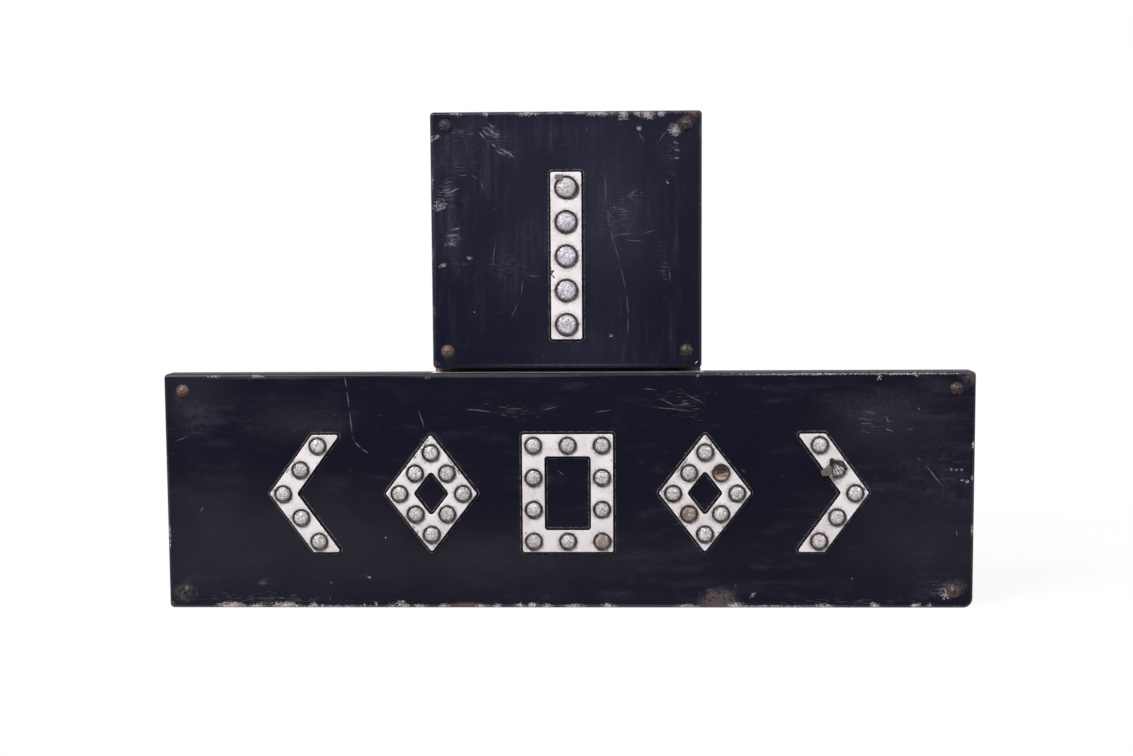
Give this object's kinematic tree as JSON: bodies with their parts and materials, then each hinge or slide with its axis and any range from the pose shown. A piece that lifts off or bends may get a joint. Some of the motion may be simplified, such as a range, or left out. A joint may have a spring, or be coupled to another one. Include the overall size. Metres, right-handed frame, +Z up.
{
  "type": "railroad crossing sign",
  "caption": "Railroad crossing sign: square number plate above a long panel, pressed steel pans with raised figures and glass reflectors, bolted to a rear plate",
  "frame": {"origin": "centre of the U-bolt hole pattern on the rear face of the joining plate, level with the middle of the gap between the two panels", "axes": "+X to the right as seen by the viewer of the sign, +Y from the face towards the mast behind it, +Z up"},
  "size_m": [0.6858, 0.0386, 0.42],
  "materials": {
    "navy_enamel": "worn gloss",
    "white_enamel": "aged gloss",
    "cover_paint": "worn satin",
    "rusty_plate": "rusted",
    "rusty_bolt": "rusted",
    "rusty_washer": "rusted",
    "rusty_nut": "rusted",
    "plain_steel": "dull",
    "reflector_glass": "prismatic",
    "dark_bezel": "dark patina",
    "bright_cup": "dull"
  },
  "bodies": {
    "root": {"number_front_pan": "navy_enamel", "word_front_pan": "navy_enamel", "number_back_cover": "cover_paint", "word_back_cover": "cover_paint", "joining_plate": "rusty_plate", "number_corner_bolts": "rusty_bolt", "number_corner_sleeves": "plain_steel", "number_corner_washers": "rusty_washer", "number_corner_nuts": "rusty_nut", "word_corner_bolts": "rusty_bolt", "word_corner_sleeves": "plain_steel", "word_corner_washers": "rusty_washer", "word_corner_nuts": "rusty_nut", "joining_bolts": "rusty_bolt", "joining_washers": "rusty_washer", "joining_nuts": "rusty_nut", "bar_facing": "white_enamel", "bar_lenses": "reflector_glass", "bar_bezels": "dark_bezel", "bar_cups": "bright_cup", "bar_rings": "plain_steel", "left_chevron_facing": "white_enamel", "left_chevron_lenses": "reflector_glass", "left_chevron_bezels": "dark_bezel", "left_chevron_cups": "bright_cup", "left_chevron_rings": "plain_steel", "left_diamond_facing": "white_enamel", "left_diamond_lenses": "reflector_glass", "left_diamond_bezels": "dark_bezel", "left_diamond_cups": "bright_cup", "left_diamond_rings": "plain_steel", "square_facing": "white_enamel", "square_lenses": "reflector_glass", "square_bezels": "dark_bezel", "square_cups": "bright_cup", "square_rings": "plain_steel", "right_diamond_facing": "white_enamel", "right_diamond_lenses": "reflector_glass", "right_diamond_bezels": "dark_bezel", "right_diamond_cups": "bright_cup", "right_diamond_rings": "plain_steel", "right_chevron_facing": "white_enamel", "right_chevron_lenses": "reflector_glass", "right_chevron_bezels": "dark_bezel", "right_chevron_cups": "bright_cup", "right_chevron_rings": "plain_steel"}
  },
  "joints": []
}
